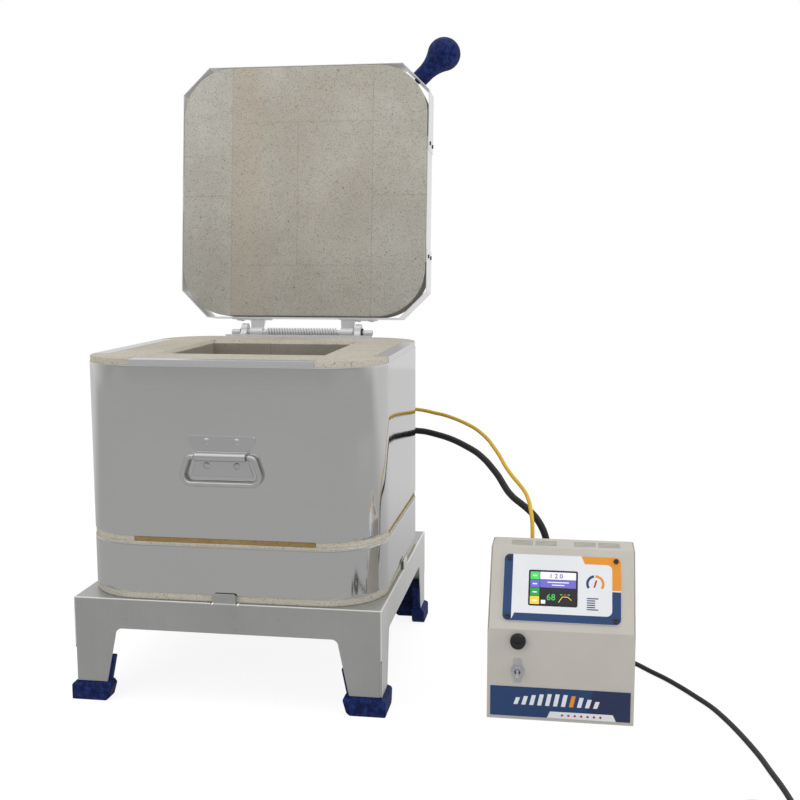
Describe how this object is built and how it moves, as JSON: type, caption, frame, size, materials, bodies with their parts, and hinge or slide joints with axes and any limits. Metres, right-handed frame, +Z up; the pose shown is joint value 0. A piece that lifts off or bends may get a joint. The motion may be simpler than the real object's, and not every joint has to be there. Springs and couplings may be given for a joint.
{
  "type": "bead annealing kiln",
  "caption": "Top-loading square brick kiln on a sheet stand, with a counterbalanced hinged lid, a bail handle, a separate sloping control box and its cords.",
  "frame": {"origin": "on the floor, under the middle of the box round the kiln and its control box", "axes": "+Z up, +X to the right as seen from the front where the handle is, +Y from the front to the hinged back"},
  "size_m": [1.1273, 1.02, 1.172],
  "materials": {
    "stand_sheet": "satin",
    "navy_print": "matte",
    "firebrick": "matte",
    "lid_brick": "matte",
    "stainless": "polished",
    "seam_board": "matte",
    "element_wire": "matte",
    "terminal_ceramic": "satin",
    "black_nylon": "satin",
    "hinge_steel": "satin",
    "dark_screws": "satin",
    "spring_wire": "satin",
    "box_paint": "satin",
    "panel_print": "satin",
    "screen_glass": "gloss",
    "board_green": "satin",
    "copper_core": "satin",
    "switch_metal": "polished",
    "cord_black": "satin",
    "cord_yellow": "satin"
  },
  "bodies": {
    "kiln": {"stand": "stand_sheet", "foot_front_left": "navy_print", "foot_front_right": "navy_print", "foot_back_left": "navy_print", "foot_back_right": "navy_print", "floor_slab": "firebrick", "floor_jacket": "stainless", "chamber_bricks_low": "firebrick", "chamber_bricks_middle": "firebrick", "chamber_bricks_top": "firebrick", "chamber_jacket": "stainless", "rim_trims": "stainless", "seam_strips": "seam_board", "heating_elements": "element_wire", "terminal_block": "terminal_ceramic", "terminal_cover": "stainless", "terminal_screws": "dark_screws", "thermocouple": "terminal_ceramic", "kiln_power_gland": "black_nylon", "kiln_sensor_gland": "black_nylon", "hinge_base": "hinge_steel", "hinge_rod": "hinge_steel", "hinge_clips": "dark_screws", "hinge_spring": "spring_wire", "hinge_screws": "dark_screws", "handle_plate": "stainless", "handle_rivets": "stainless", "control_base": "box_paint", "control_cover": "box_paint", "display_panel": "panel_print", "panel_screws": "dark_screws", "display": "screen_glass", "controller_board": "board_green", "relay": "black_nylon", "transformer": "copper_core", "fuse_holder": "black_nylon", "toggle_switch": "switch_metal", "label_plate": "panel_print", "box_power_gland": "black_nylon", "box_sensor_gland": "black_nylon", "mains_gland": "black_nylon", "kiln_power_cord": "cord_black", "sensor_cord": "cord_yellow", "mains_cord": "cord_black", "mains_coil": "cord_black", "mains_plug": "cord_black"},
    "lid": {"lid_slab": "lid_brick", "lid_band_front": "hinge_steel", "lid_band_back": "hinge_steel", "lid_band_link": "hinge_steel", "lid_band_screws": "dark_screws", "lid_hinge_left": "hinge_steel", "lid_hinge_right": "hinge_steel", "lid_knob": "navy_print", "knob_bolt": "dark_screws"},
    "bail": {"handle_bail": "stainless"},
    "toggle": {"toggle_lever": "switch_metal"},
    "cap": {"fuse_cap": "black_nylon"}
  },
  "joints": [
    {"name": "lid_hinge", "type": "hinge", "parent": "kiln", "child": "lid", "pos_m": [-0.195, 0.212, 0.5769], "axis": [1, 0, 0], "range_deg": [0, 96]},
    {"name": "bail_swing", "type": "hinge", "parent": "kiln", "child": "bail", "pos_m": [-0.195, -0.3375, 0.417], "axis": [-1, 0, 0], "range_deg": [0, 90]},
    {"name": "toggle_throw", "type": "hinge", "parent": "kiln", "child": "toggle", "pos_m": [0.279, -0.315, 0.0817], "axis": [-1, 0, 0], "range_deg": [0, 30]},
    {"name": "fuse_cap_turn", "type": "hinge", "parent": "kiln", "child": "cap", "pos_m": [0.279, -0.312, 0.1303], "axis": [0, -1, 0], "range_deg": [0, 45]}
  ]
}
